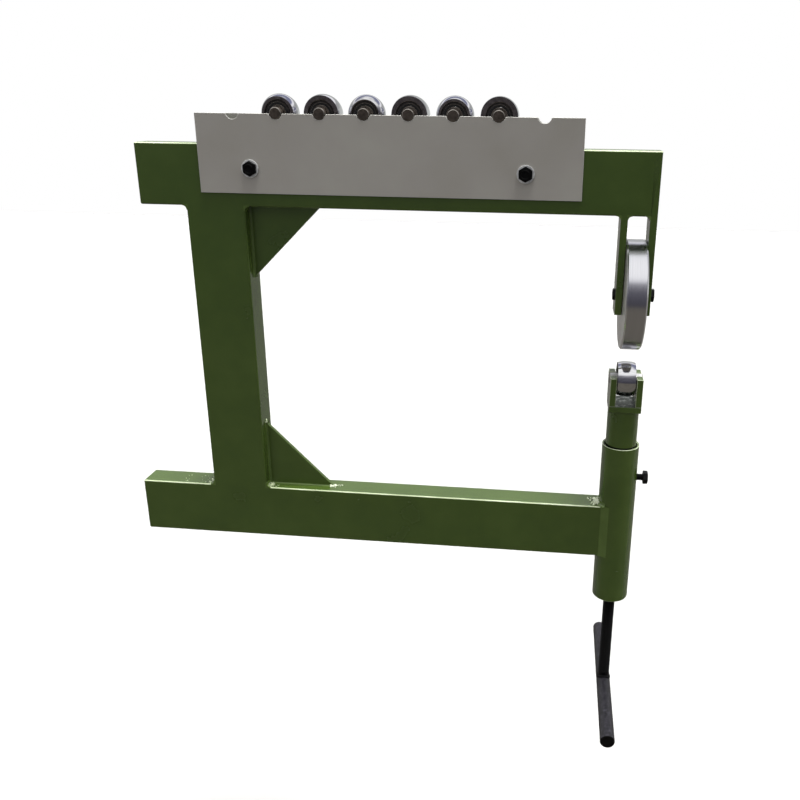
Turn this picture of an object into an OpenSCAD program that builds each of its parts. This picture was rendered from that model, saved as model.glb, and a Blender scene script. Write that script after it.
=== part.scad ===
// Bench-top plate rolling machine, of the kind called an English wheel.
// A welded C-frame of rectangular tube carries a large wheel in a fork, and a small crowned
// wheel, the anvil, on a post that a screw raises. Sheet metal is rolled to and fro between
// the two wheels. A rack of two plates on the upper arm keeps six spare anvils.
// Millimetres. The origin is on the underside of the lower arm, on the column's centreline
// and in the machine's middle plane. +X runs out to the wheels, +Z up.

/* [Frame] */
// Height of both arms, and width of the column
tube_h = 84; // [60:1:110]
// Depth of every frame tube, front to back
tube_d = 40; // [36:1:50]
// Wall of every frame tube
tube_wall = 4; // [2:0.5:6]
// Clear height between the two arms
throat_h = 429; // [400:1:800]
// Reach from the column's face to the centreline of the wheels
throat_reach = 539.5; // [460:1:900]
// Length of the lower arm behind the column, which a vice or clamp holds
lower_stub = 116; // [60:1:250]
// Length of the upper arm behind the column
upper_stub = 67; // [30:1:200]
// Length of each leg of a corner gusset
gusset_leg = 102; // [50:1:160]
// Thickness of a gusset
gusset_t = 6; // [3:0.5:10]
// Thickness of the plates that close the arms' free ends
cap_t = 4; // [2:0.5:8]
// Leg of every weld bead
bead_leg = 4; // [2:0.5:5]

/* [Upper wheel and fork] */
// Diameter of the upper wheel
wheel_d = 152.4; // [120:0.1:200]
// Width of the upper wheel
wheel_w = 28; // [24:0.1:36]
// Free height in the fork's slot over the wheel
wheel_over_gap = 33; // [15:0.1:80]
// Gap between each side of the wheel and its fork cheek
wheel_side_gap = 0.5; // [0.4:0.1:3]
// Chamfer on the upper wheel's edges
wheel_edge = 2; // [0.5:0.1:3]
// Thickness of a fork cheek
cheek_t = 9.5; // [6:0.5:16]
// Length of a fork cheek below the wheel's axle
cheek_below = 25; // [14:0.5:40]
// Diameter of the bolt that the upper wheel turns on
axle_bolt_d = 10; // [8:1:12]
// Outer diameter of the upper wheel's bearings
wheel_bearing_od = 30; // [26:1:40]
// Width of one of the upper wheel's bearings
wheel_bearing_w = 9; // [7:0.5:10]

/* [Anvils] */
// Diameter of every anvil at the middle of its crown
anvil_d = 50.8; // [45:0.1:56]
// Width of every anvil
anvil_w = 25.4; // [24:0.1:32]
// Gap between the upper wheel and the working anvil as stored
nip_gap = 21.7; // [12:0.1:30]
// Diameter of an anvil's axle
anvil_axle_d = 15.9; // [12:0.1:17]
// Length of an anvil's axle past each outer face of the yoke
axle_proud = 0.5; // [0:0.1:3]
// Outer diameter of an anvil's bearings
anvil_bearing_od = 35; // [30:0.5:36]
// Width of one of an anvil's bearings
anvil_bearing_w = 11; // [8:0.5:11]

/* [Yoke, post and sleeve] */
// Depth of the yoke, front to back
yoke_d = 50; // [36:1:60]
// Thickness of a yoke cheek
yoke_cheek_t = 9; // [5:0.5:14]
// Gap between each side of the anvil and its yoke cheek
anvil_side_gap = 1.3; // [0.4:0.1:3]
// Height of a yoke cheek above the axle's centre
yoke_over_axle = 7; // [3:0.5:14]
// Free height under the anvil
anvil_under_gap = 9.4; // [4:0.1:30]
// Thickness of the plate that joins the cheeks to the post
yoke_base_t = 9; // [5:0.5:16]
// Outer diameter of the post
post_d = 45; // [38:0.1:48]
// Wall of the post
post_wall = 3.25; // [2:0.05:6]
// Length of the post inside the sleeve as stored
post_engage = 148; // [110:1:156]
// Outer diameter of the sleeve
sleeve_d = 54; // [51:0.1:60]
// Length of the sleeve above the lower arm
sleeve_above = 96; // [70:1:120]
// Length of the sleeve below the lower arm
sleeve_below = 75; // [60:1:120]
// Diameter of the bolt that locks the post
lock_bolt_d = 10; // [8:1:12]
// Height of the lock bolt below the sleeve's top
lock_down = 53; // [20:1:60]
// Length of the lock bolt's shank that stands out of the sleeve
lock_proud = 9; // [4:0.1:25]

/* [Lift screw] */
// Diameter of the lift screw
screw_d = 18; // [12:1:20]
// Height of the nut in the sleeve's foot
lift_nut_h = 16; // [12:1:30]
// Length of the screw below the sleeve
screw_below = 165; // [110:1:200]
// Diameter of the handle bar across the screw's foot
bar_d = 22; // [16:1:24]
// Length of the handle bar
bar_len = 280; // [200:5:400]

/* [Anvil rack] */
// Number of notches in each rack plate
notch_count = 8; // [8:1:8]
// Distance from one notch to the next
notch_pitch = 59.5; // [58:0.5:64]
// Length of a rack plate beyond its last notches
rack_margin = 52.5; // [45:0.5:60]
// Distance of the rack's end from the column's centreline, towards the stub
rack_back = 17; // [0:1:30]
// Thickness of a rack plate
rack_t = 3; // [1.5:0.5:6]
// Height of the rack above the upper arm
rack_over = 39; // [36:1:80]
// Depth to which the rack covers the upper arm
rack_under = 65.5; // [45:0.5:70]
// Depth of a notch
notch_depth = 7.6; // [6:0.1:8]
// Diameter of the two studs that hold the rack
stud_d = 12; // [8:1:14]
// Distance of the left stud from the rack's end
stud_inset = 72.5; // [40:0.5:120]
// Distance from one stud to the other
stud_pitch = 374; // [200:1:380]
// Distance of a stud below the upper arm's top
stud_down = 32.5; // [16:0.5:40]

/* [Hidden] */
// Ease of one piece in another, on the radius: one that turns or slides, and one that is fixed
running_ease = 0.05;
fixed_ease = 0.02;
// Ease of a bolt in a drilled plate, and overrun of a cut past the face that it opens
bolt_ease = 0.25;
cut_over = 1;
// Distance that keeps two pieces just apart where one rests on the other
seat_gap = 0.1;
// Chamfer on turned ends, and on the anvils' edges and both kinds of wheel's bores
end_chamfer = 1;
wheel_chamfer = 0.6;
// Rounding at a rack notch's mouth, and ease of an anvil's axle in the notch, on the radius
notch_round = 1.5;
notch_ease = 1.2;

// Hexagons: widths across flats of a head and of a nut, and their heights, as shares of the thread
head_af_share = 1.7;
nut_af_share = 1.5;
head_h_share = 0.45;
nut_h_share = 0.3;
lock_head_h_share = 0.7;
washer_d_share = 2;
washer_t_share = 0.18;
stud_proud_share = 0.1;
// Boss on the outer fork cheek under the axle bolt's head, as shares of the bolt
boss_d_share = 1.9;
boss_t_share = 0.12;

// Bearings: wall of each ring as a share of the section, seal thickness and depth as shares
// of the width
race_share = 0.33;
seal_share = 0.1;
seal_sink_share = 0.05;
seal_gap = 0.3;
race_chamfer = 0.5;
bearing_gap = 0.4;

// Drop of each anvil's edge below its crown, as a share of the land round its bearing: the
// working anvil first, then the six in the rack from left to right
crown_shares = [0.27, 0.54, 0.27, 0.95, 0.21, 0.63, 0.12];
spare_count = len(crown_shares) - 1;

// Plug in the post's foot, the screw's turned tip in it, and the floor over the tip
tip_d_share = 0.6;
tip_len = 9;
plug_floor = 4;
plug_h = tip_len + end_chamfer + plug_floor;

column_top = tube_h + throat_h;
arm_top = column_top + tube_h;
wheel_x = tube_h / 2 + throat_reach;
fork_half_gap = wheel_w / 2 + wheel_side_gap;
arm_end_x = wheel_x + fork_half_gap;
wheel_z = column_top - wheel_over_gap - wheel_d / 2;
cheek_foot = wheel_z - cheek_below;

anvil_z = wheel_z - wheel_d / 2 - nip_gap - anvil_d / 2;
yoke_half_gap = anvil_w / 2 + anvil_side_gap;
yoke_half_w = yoke_half_gap + yoke_cheek_t;
yoke_floor = anvil_z - anvil_d / 2 - anvil_under_gap;
yoke_top = anvil_z + yoke_over_axle;
post_top = yoke_floor - yoke_base_t;
sleeve_top = tube_h + sleeve_above;
sleeve_bore_r = post_d / 2 + running_ease;
post_foot = sleeve_top - post_engage;
lock_z = sleeve_top - lock_down;
bar_z = -sleeve_below - screw_below;
axle_half_len = yoke_half_w + axle_proud;

rack_len = (notch_count - 1) * notch_pitch + 2 * rack_margin;
rack_top = arm_top + rack_over;
rack_foot = arm_top - rack_under;
notch_r = anvil_axle_d / 2 + notch_ease;
notch_z = rack_top - notch_depth + notch_r;
spare_z = rack_top - notch_depth + anvil_axle_d / 2 + seat_gap;
rack_half_d = tube_d / 2 + rack_t;
stud_z = arm_top - stud_down;
stud_half_len = rack_half_d + (washer_t_share + nut_h_share + stud_proud_share) * stud_d;

$fn = 96;

SPARES = [for (k = [1 : spare_count]) k];
FRAME_NODES = [
    "lower_arm", "column", "upper_arm", "lower_gusset", "upper_gusset",
    "lower_arm_cap", "upper_arm_cap", "fork_inner_cheek", "fork_outer_cheek",
    "sleeve", "lift_nut", "weld_beads", "rack_front_plate", "rack_rear_plate",
    "rack_studs", "rack_nuts", "rack_washers"
];
WHEEL_NODES = [
    "upper_wheel", "upper_outer_races", "upper_inner_races",
    "upper_axle_bolt", "upper_axle_nut", "upper_spacers"
];
LIFT_NODES = [
    "post", "yoke_base", "yoke_inner_cheek", "yoke_outer_cheek", "lift_plug",
    "lift_screw", "handle_bar", "lock_bolt"
];
ANVIL_NODES = ["anvil_roller", "anvil_outer_races", "anvil_inner_races", "anvil_axle"];
SPARE_NODES = [
    for (k = SPARES, piece = ["roller", "outer_races", "inner_races", "axle"])
        str("spare_", piece, "_", k)
];

function notch_x(k) = -rack_back + rack_margin + k * notch_pitch;
function stud_xs() = [for (k = [0, 1]) -rack_back + stud_inset + k * stud_pitch];

// A box from one end to another along X, Y and Z
module span_box(x0, x1, y0, y1, z0, z1) {
    translate([x0, y0, z0]) cube([x1 - x0, y1 - y0, z1 - z0]);
}

// A horizontal frame tube from x0 to x1 with its underside at z0
module arm_tube(x0, x1, z0) {
    difference() {
        span_box(x0, x1, -tube_d / 2, tube_d / 2, z0, z0 + tube_h);
        span_box(
            x0 - cut_over, x1 + cut_over,
            -tube_d / 2 + tube_wall, tube_d / 2 - tube_wall,
            z0 + tube_wall, z0 + tube_h - tube_wall
        );
    }
}

module lower_arm() {
    color("#38441e") difference() {
        arm_tube(-tube_h / 2 - lower_stub + cap_t, wheel_x, 0);
        translate([wheel_x, 0, -cut_over])
            cylinder(d = sleeve_d + 2 * fixed_ease, h = tube_h + 2 * cut_over);
    }
}

module column() {
    color("#38441e") difference() {
        span_box(-tube_h / 2, tube_h / 2, -tube_d / 2, tube_d / 2, tube_h, column_top);
        span_box(
            -tube_h / 2 + tube_wall, tube_h / 2 - tube_wall,
            -tube_d / 2 + tube_wall, tube_d / 2 - tube_wall,
            tube_h - cut_over, column_top + cut_over
        );
    }
}

module upper_arm() {
    color("#2c3a18") difference() {
        arm_tube(-tube_h / 2 - upper_stub + cap_t, arm_end_x, column_top);
        for (x = stud_xs())
            translate([x, 0, stud_z]) rotate([90, 0, 0])
                cylinder(d = stud_d + 2 * bolt_ease, h = tube_d + 2 * cut_over, center = true);
    }
}

// A triangular web plate in the corner at (corner_x, corner_z), up or down the column
module gusset(corner_x, corner_z, up) {
    color("#38441e") translate([corner_x, gusset_t / 2, corner_z]) rotate([90, 0, 0])
        linear_extrude(gusset_t)
            polygon([[0, 0], [gusset_leg, 0], [0, up * gusset_leg]]);
}

module lower_gusset() {
    gusset(tube_h / 2, tube_h, 1);
}

module upper_gusset() {
    gusset(tube_h / 2, column_top, -1);
}

module arm_cap(x0, z0) {
    color("#38441e")
        span_box(x0, x0 + cap_t, -tube_d / 2, tube_d / 2, z0, z0 + tube_h);
}

module lower_arm_cap() {
    arm_cap(-tube_h / 2 - lower_stub, 0);
}

module upper_arm_cap() {
    arm_cap(-tube_h / 2 - upper_stub, column_top);
}

// A fork cheek from x0 outwards, with whatever is added to it, drilled for the axle bolt
module fork_cheek(x0, top) {
    color("#2c3a18") difference() {
        union() {
            span_box(x0, x0 + cheek_t, -tube_d / 2, tube_d / 2, cheek_foot, top);
            children();
        }
        translate([x0 - cut_over, 0, wheel_z]) rotate([0, 90, 0])
            cylinder(
                d = axle_bolt_d + 2 * running_ease,
                h = cheek_t + axle_bolt_d + 2 * cut_over
            );
    }
}

module fork_inner_cheek() {
    fork_cheek(wheel_x - fork_half_gap - cheek_t, column_top);
}

module fork_outer_cheek() {
    fork_cheek(wheel_x + fork_half_gap, arm_top)
        translate([wheel_x + fork_half_gap, 0, wheel_z]) rotate([0, 90, 0])
            cylinder(
                d = boss_d_share * axle_bolt_d,
                h = cheek_t + boss_t_share * axle_bolt_d
            );
}

module sleeve() {
    color("#38441e") translate([wheel_x, 0, 0]) difference() {
        translate([0, 0, -sleeve_below])
            cylinder(d = sleeve_d, h = sleeve_top + sleeve_below);
        translate([0, 0, -sleeve_below - cut_over])
            cylinder(r = sleeve_bore_r, h = sleeve_top + sleeve_below + 2 * cut_over);
        translate([0, 0, lock_z]) rotate([0, 90, 0])
            cylinder(d = lock_bolt_d + 2 * running_ease, h = sleeve_d);
    }
}

module lift_nut() {
    color("#303030") translate([wheel_x, 0, -sleeve_below]) difference() {
        cylinder(r = sleeve_bore_r - fixed_ease, h = lift_nut_h);
        translate([0, 0, -cut_over])
            cylinder(d = screw_d + 2 * running_ease, h = lift_nut_h + 2 * cut_over);
    }
}

// A hollow fillet of weld along +Y from y0, in the corner at (x, z) that opens towards
// (open_x, open_z)
module bead_along_y(x, z, open_x, open_z, y0, y1) {
    translate([x, y1, z]) rotate([90, 0, 0]) linear_extrude(y1 - y0)
        scale([open_x, open_z]) bead_outline();
}

module bead_outline() {
    difference() {
        square(bead_leg);
        translate([bead_leg, bead_leg]) circle(bead_leg);
    }
}

// The ring of weld round the sleeve where it leaves the arm's top
module sleeve_bead() {
    intersection() {
        translate([wheel_x, 0, tube_h])
            rotate_extrude() translate([sleeve_d / 2 + fixed_ease, 0]) bead_outline();
        span_box(
            wheel_x - sleeve_d, wheel_x, -tube_d / 2, tube_d / 2,
            tube_h, tube_h + bead_leg
        );
    }
}

module weld_beads() {
    half_d = tube_d / 2;
    web = gusset_t / 2;
    right = tube_h / 2;
    color("#4a5a2c") {
        bead_along_y(-right, tube_h, -1, 1, -half_d, half_d);
        bead_along_y(-right, column_top, -1, -1, -half_d, half_d);
        for (side = [[-half_d, -web], [web, half_d]]) {
            bead_along_y(right, tube_h, 1, 1, side[0], side[1]);
            bead_along_y(right, column_top, 1, -1, side[0], side[1]);
        }
        bead_along_y(wheel_x - fork_half_gap - cheek_t, column_top, -1, -1, -half_d, half_d);
        bead_along_y(wheel_x - fork_half_gap, column_top, 1, -1, -half_d, half_d);
        bead_along_y(wheel_x + fork_half_gap, column_top, -1, -1, -half_d, half_d);
        sleeve_bead();
    }
}

// A rack plate whose outer face is at y0 and whose inner face is at y1
module rack_plate(y0, y1) {
    color("#73736c") translate([0, y1, 0]) rotate([90, 0, 0]) linear_extrude(y1 - y0)
        difference() {
            translate([-rack_back, rack_foot]) square([rack_len, rack_top - rack_foot]);
            for (k = [0 : notch_count - 1]) translate([notch_x(k), 0]) notch_cut();
            for (x = stud_xs())
                translate([x, stud_z]) circle(d = stud_d + 2 * bolt_ease);
        }
}

// A round notch open at the top, whose wall meets the plate's top in a round corner on each
// side. The corner's arc touches the notch's own circle at (touch_x, touch_z)
module notch_cut() {
    round_z = rack_top - notch_round;
    rise = notch_z - round_z;
    round_x = sqrt(pow(notch_r + notch_round, 2) - pow(rise, 2));
    touch_x = round_x * notch_r / (notch_r + notch_round);
    touch_z = notch_z - rise * notch_r / (notch_r + notch_round);
    translate([0, notch_z]) circle(notch_r);
    difference() {
        polygon([
            [-round_x, rack_top + cut_over], [round_x, rack_top + cut_over],
            [round_x, rack_top], [touch_x, touch_z], [-touch_x, touch_z],
            [-round_x, rack_top]
        ]);
        for (side = [-1, 1]) translate([side * round_x, round_z]) circle(notch_round);
    }
}

module rack_front_plate() {
    rack_plate(-rack_half_d, -tube_d / 2);
}

module rack_rear_plate() {
    rack_plate(tube_d / 2, rack_half_d);
}

module rack_studs() {
    color("#1c1c1c") for (x = stud_xs())
        translate([x, 0, stud_z]) rotate([90, 0, 0])
            turned_rod(stud_d, 2 * stud_half_len);
}

// A rod about the origin along Z with both ends chamfered
module turned_rod(d, len) {
    half = len / 2;
    rotate_extrude() polygon([
        [0, -half], [d / 2 - end_chamfer, -half], [d / 2, -half + end_chamfer],
        [d / 2, half - end_chamfer], [d / 2 - end_chamfer, half], [0, half]
    ]);
}

// A hexagonal prism from z = 0 upwards, af wide across its flats
module hexagon(af, h) {
    cylinder(d = af / cos(30), h = h, $fn = 6);
}

// A hexagonal nut from z = 0 upwards, on a thread of diameter d
module hex_nut(d, h_share) {
    difference() {
        hexagon(nut_af_share * d, h_share * d);
        translate([0, 0, -cut_over])
            cylinder(d = d + 2 * fixed_ease, h = h_share * d + 2 * cut_over);
    }
}

// A flat washer from z = 0 upwards, on a thread of diameter d
module flat_washer(d) {
    difference() {
        cylinder(d = washer_d_share * d, h = washer_t_share * d);
        translate([0, 0, -cut_over])
            cylinder(d = d + 2 * bolt_ease, h = washer_t_share * d + 2 * cut_over);
    }
}

// Places its children on each stud, at each face of the rack, facing outwards
module at_rack_studs(off) {
    for (x = stud_xs(), side = [-1, 1])
        translate([x, side * (rack_half_d + off), stud_z])
            rotate([-side * 90, 0, 0]) children();
}

module rack_washers() {
    color("#a8a8a4") at_rack_studs(0) flat_washer(stud_d);
}

module rack_nuts() {
    color("#1c1c1c") at_rack_studs(washer_t_share * stud_d)
        hex_nut(stud_d, nut_h_share);
}

// Half section of a wheel that turns about Z, with chamfered edges and a plain bore for its
// bearings. edge_d is its diameter at the side faces, before they lose the chamfer
module wheel_section(d, w, edge_d, bore_d, chamfer) {
    bore_out = bore_d / 2 + wheel_chamfer;
    edge_in = edge_d / 2 - chamfer;
    polygon([
        [bore_d / 2, -w / 2 + wheel_chamfer], [bore_out, -w / 2],
        [edge_in, -w / 2], [d / 2, -w / 2 + chamfer],
        [d / 2, w / 2 - chamfer], [edge_in, w / 2],
        [bore_out, w / 2], [bore_d / 2, w / 2 - wheel_chamfer]
    ]);
}

module upper_wheel() {
    color("#c4c6ca") translate([wheel_x, 0, wheel_z]) rotate([0, 90, 0]) rotate_extrude()
        wheel_section(
            wheel_d, wheel_w, wheel_d, wheel_bearing_od + 2 * fixed_ease, wheel_edge
        );
}

// The outer ring of a sealed ball bearing about the origin, with its two seals
module outer_race(bore, od, w) {
    section = (od - bore) / 2;
    ring_r = od / 2 - race_share * section;
    seal_r = bore / 2 + race_share * section + seal_gap;
    seal_out = w / 2 - seal_sink_share * w;
    seal_in = seal_out - seal_share * w;
    rotate_extrude() polygon([
        [ring_r, -w / 2], [od / 2 - race_chamfer, -w / 2], [od / 2, -w / 2 + race_chamfer],
        [od / 2, w / 2 - race_chamfer], [od / 2 - race_chamfer, w / 2], [ring_r, w / 2],
        [ring_r, seal_out], [seal_r, seal_out], [seal_r, seal_in], [ring_r, seal_in],
        [ring_r, -seal_in], [seal_r, -seal_in], [seal_r, -seal_out], [ring_r, -seal_out]
    ]);
}

// The inner ring of a ball bearing about the origin
module inner_race(bore, od, w) {
    ring_r = bore / 2 + race_share * (od - bore) / 2;
    rotate_extrude() translate([bore / 2 + fixed_ease, -w / 2])
        square([ring_r - bore / 2 - fixed_ease, w]);
}

module upper_outer_races() {
    color("#5a5c60") for (side = [-1, 1])
        translate([wheel_x + side * (wheel_w - wheel_bearing_w) / 2, 0, wheel_z])
            rotate([0, 90, 0]) outer_race(axle_bolt_d, wheel_bearing_od, wheel_bearing_w);
}

module upper_inner_races() {
    color("#b8babd") for (side = [-1, 1])
        translate([wheel_x + side * (wheel_w - wheel_bearing_w) / 2, 0, wheel_z])
            rotate([0, 90, 0]) inner_race(axle_bolt_d, wheel_bearing_od, wheel_bearing_w);
}

// The tubes that hold the inner rings apart and off the fork: two thin ones and a long one
module upper_spacers() {
    outer_d = axle_bolt_d + race_share * (wheel_bearing_od - axle_bolt_d);
    color("#8e9093") translate([wheel_x, 0, wheel_z]) rotate([0, 90, 0]) {
        spacer_tube(outer_d, wheel_w - 2 * wheel_bearing_w, 0);
        for (side = [-1, 1])
            spacer_tube(outer_d, wheel_side_gap, side * (wheel_w + wheel_side_gap) / 2);
    }
}

module spacer_tube(d, len, z) {
    translate([0, 0, z]) difference() {
        cylinder(d = d, h = len, center = true);
        cylinder(d = axle_bolt_d + 2 * fixed_ease, h = len + 2 * cut_over, center = true);
    }
}

module upper_axle_bolt() {
    reach = fork_half_gap + cheek_t;
    tail_end = reach + nut_h_share * axle_bolt_d;
    head_start = reach + boss_t_share * axle_bolt_d;
    color("#1c1c1c") translate([wheel_x, 0, wheel_z]) rotate([0, 90, 0]) {
        translate([0, 0, -tail_end]) cylinder(d = axle_bolt_d, h = tail_end + head_start);
        translate([0, 0, head_start])
            hexagon(head_af_share * axle_bolt_d, head_h_share * axle_bolt_d);
    }
}

module upper_axle_nut() {
    color("#1c1c1c") translate([wheel_x - fork_half_gap - cheek_t, 0, wheel_z])
        rotate([0, -90, 0]) hex_nut(axle_bolt_d, nut_h_share);
}

module post() {
    color("#38441e") translate([wheel_x, 0, post_foot]) difference() {
        cylinder(d = post_d, h = post_top - post_foot);
        translate([0, 0, -cut_over])
            cylinder(d = post_d - 2 * post_wall, h = post_top - post_foot + 2 * cut_over);
    }
}

module yoke_base() {
    color("#8a8a80") span_box(
        wheel_x - yoke_half_w, wheel_x + yoke_half_w, -yoke_d / 2, yoke_d / 2,
        post_top, yoke_floor
    );
}

// A yoke cheek with an open slot for the anvil's axle: side is -1 or 1
module yoke_cheek(side) {
    x0 = wheel_x + (side > 0 ? yoke_half_gap : -yoke_half_w);
    slot_r = anvil_axle_d / 2 + running_ease;
    color("#38441e") difference() {
        span_box(x0, x0 + yoke_cheek_t, -yoke_d / 2, yoke_d / 2, yoke_floor, yoke_top);
        translate([x0 - cut_over, 0, anvil_z]) rotate([0, 90, 0])
            cylinder(r = slot_r, h = yoke_cheek_t + 2 * cut_over);
        span_box(
            x0 - cut_over, x0 + yoke_cheek_t + cut_over, -slot_r, slot_r,
            anvil_z, yoke_top + cut_over
        );
    }
}

module yoke_inner_cheek() {
    yoke_cheek(-1);
}

module yoke_outer_cheek() {
    yoke_cheek(1);
}

// The plug in the post's foot, with a blind bore for the screw's tip
module lift_plug() {
    color("#303030") translate([wheel_x, 0, post_foot]) difference() {
        cylinder(d = post_d - 2 * post_wall - 2 * fixed_ease, h = plug_h);
        translate([0, 0, -cut_over])
            cylinder(
                d = tip_d_share * screw_d + 2 * running_ease,
                h = tip_len + end_chamfer + cut_over
            );
    }
}

module lift_screw() {
    shoulder = post_foot - seat_gap;
    color("#242424") translate([wheel_x, 0, 0]) difference() {
        union() {
            translate([0, 0, bar_z]) cylinder(d = screw_d, h = shoulder - bar_z);
            translate([0, 0, shoulder]) cylinder(d = tip_d_share * screw_d, h = tip_len);
        }
        translate([0, 0, bar_z]) rotate([90, 0, 0])
            cylinder(d = bar_d + 2 * fixed_ease, h = 2 * screw_d, center = true);
    }
}

module handle_bar() {
    color("#242424") translate([wheel_x, 0, bar_z]) rotate([90, 0, 0])
        turned_rod(bar_d, bar_len);
}

module lock_bolt() {
    tip_x = wheel_x + post_d / 2 + seat_gap;
    head_x = wheel_x + sleeve_d / 2 + lock_proud;
    color("#1c1c1c") translate([tip_x, 0, lock_z]) rotate([0, 90, 0]) {
        cylinder(d = lock_bolt_d, h = head_x - tip_x);
        translate([0, 0, head_x - tip_x])
            hexagon(head_af_share * lock_bolt_d, lock_head_h_share * lock_bolt_d);
    }
}

// Pieces of one anvil about the origin, turning about Z: n is its place in crown_shares. The
// crown is an arc that drops by crown_drop from the middle to the side faces
module roller(n) {
    bore_d = anvil_bearing_od + 2 * fixed_ease;
    land = (anvil_d - bore_d) / 2 - 2 * wheel_chamfer;
    crown_drop = crown_shares[n] * land;
    crown_r = (pow(anvil_w / 2, 2) + pow(crown_drop, 2)) / (2 * crown_drop);
    color("#bfc2c8") rotate_extrude() intersection() {
        wheel_section(anvil_d, anvil_w, anvil_d - 2 * crown_drop, bore_d, wheel_chamfer);
        translate([anvil_d / 2 - crown_r, 0]) circle(crown_r, $fn = 8 * $fn);
    }
}

module anvil_bearings() {
    for (side = [-1, 1])
        translate([0, 0, side * (anvil_bearing_w + bearing_gap) / 2]) children();
}

module roller_outer_races() {
    color("#3a3b3e") anvil_bearings()
        outer_race(anvil_axle_d, anvil_bearing_od, anvil_bearing_w);
}

module roller_inner_races() {
    color("#a0a2a5") anvil_bearings()
        inner_race(anvil_axle_d, anvil_bearing_od, anvil_bearing_w);
}

module roller_axle(half_len) {
    color("#4a443c") turned_rod(anvil_axle_d, 2 * half_len);
}

// Puts the working anvil in the yoke
module in_yoke() {
    translate([wheel_x, 0, anvil_z + seat_gap / 2]) rotate([0, 90, 0]) children();
}

module anvil_roller() {
    in_yoke() roller(0);
}

module anvil_outer_races() {
    in_yoke() roller_outer_races();
}

module anvil_inner_races() {
    in_yoke() roller_inner_races();
}

module anvil_axle() {
    in_yoke() roller_axle(axle_half_len);
}

// Puts spare anvil k in its notches, the first and last notches staying empty
module in_rack(k) {
    translate([notch_x(k), 0, spare_z]) rotate([90, 0, 0]) children();
}

module spare_roller(k) {
    in_rack(k) roller(k);
}

module spare_outer_races(k) {
    in_rack(k) roller_outer_races();
}

module spare_inner_races(k) {
    in_rack(k) roller_inner_races();
}

module spare_axle(k) {
    in_rack(k) roller_axle(axle_half_len);
}

lower_arm();
column();
upper_arm();
lower_gusset();
upper_gusset();
lower_arm_cap();
upper_arm_cap();
fork_inner_cheek();
fork_outer_cheek();
sleeve();
lift_nut();
weld_beads();
rack_front_plate();
rack_rear_plate();
rack_studs();
rack_nuts();
rack_washers();
upper_wheel();
upper_outer_races();
upper_inner_races();
upper_axle_bolt();
upper_axle_nut();
upper_spacers();
post();
yoke_base();
yoke_inner_cheek();
yoke_outer_cheek();
lift_plug();
lift_screw();
handle_bar();
lock_bolt();
anvil_roller();
anvil_outer_races();
anvil_inner_races();
anvil_axle();
for (k = SPARES) {
    spare_roller(k);
    spare_outer_races(k);
    spare_inner_races(k);
    spare_axle(k);
}
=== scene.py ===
import math
import random

import bmesh
import bpy
from mathutils import Matrix, Vector


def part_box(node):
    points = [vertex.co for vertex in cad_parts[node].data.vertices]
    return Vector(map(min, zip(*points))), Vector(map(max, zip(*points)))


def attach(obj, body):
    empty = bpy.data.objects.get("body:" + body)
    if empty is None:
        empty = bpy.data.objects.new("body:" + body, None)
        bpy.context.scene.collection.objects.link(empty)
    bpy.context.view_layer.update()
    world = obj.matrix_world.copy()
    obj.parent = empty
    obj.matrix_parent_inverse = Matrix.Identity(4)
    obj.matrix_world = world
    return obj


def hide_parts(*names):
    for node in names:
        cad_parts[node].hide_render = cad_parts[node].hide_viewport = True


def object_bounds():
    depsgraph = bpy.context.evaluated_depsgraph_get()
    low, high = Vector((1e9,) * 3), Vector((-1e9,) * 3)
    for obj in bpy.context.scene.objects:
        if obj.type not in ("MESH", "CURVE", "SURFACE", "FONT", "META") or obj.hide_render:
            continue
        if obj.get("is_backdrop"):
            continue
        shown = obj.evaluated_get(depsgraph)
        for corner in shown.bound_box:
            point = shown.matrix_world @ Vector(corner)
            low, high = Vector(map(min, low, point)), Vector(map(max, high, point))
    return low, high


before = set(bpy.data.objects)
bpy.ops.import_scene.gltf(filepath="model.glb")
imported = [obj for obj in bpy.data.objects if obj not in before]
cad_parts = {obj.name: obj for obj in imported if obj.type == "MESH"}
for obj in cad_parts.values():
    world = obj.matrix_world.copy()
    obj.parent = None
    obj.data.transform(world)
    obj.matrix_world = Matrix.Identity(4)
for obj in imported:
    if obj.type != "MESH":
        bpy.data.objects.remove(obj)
cad_low, cad_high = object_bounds()

# The camera stands where the photograph's did: about a metre in front of the machine, two
# thirds of a metre above the bench face, and turned a little down and to the left. Its place
# and its lens were solved from points of the object, so the frame of 800 pixels is the same.
MM = 0.001
IMAGE_PX = 800
SENSOR_MM = 36
EYE_MM = Vector((475.011, -1099.988, 641.218))
YAW, PITCH, ROLL = 0.096772, 0.322512, 0.013929
FOCAL_PX = 794.539
AXIS_PX = (478.094, 377.839)

forward = Vector(
    (-math.sin(YAW) * math.cos(PITCH), math.cos(YAW) * math.cos(PITCH), -math.sin(PITCH))
)
right = Vector((math.cos(YAW), math.sin(YAW), 0))
up = right.cross(forward)
rolled_right = math.cos(ROLL) * right + math.sin(ROLL) * up
rolled_up = -math.sin(ROLL) * right + math.cos(ROLL) * up
camera_data = bpy.data.cameras.new("camera")
camera_data.sensor_width = SENSOR_MM
camera_data.lens = FOCAL_PX / IMAGE_PX * SENSOR_MM
camera_data.shift_x = (IMAGE_PX / 2 - AXIS_PX[0]) / IMAGE_PX
camera_data.shift_y = (AXIS_PX[1] - IMAGE_PX / 2) / IMAGE_PX
camera_data.clip_start = 0.05
camera_data.clip_end = 60
camera = bpy.data.objects.new("camera", camera_data)
turn = Matrix((rolled_right, rolled_up, -forward)).transposed().to_4x4()
camera.matrix_world = Matrix.Translation(EYE_MM * MM) @ turn
bpy.context.scene.collection.objects.link(camera)
bpy.context.scene.camera = camera
bpy.context.scene.view_settings.view_transform = "Standard"

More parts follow.
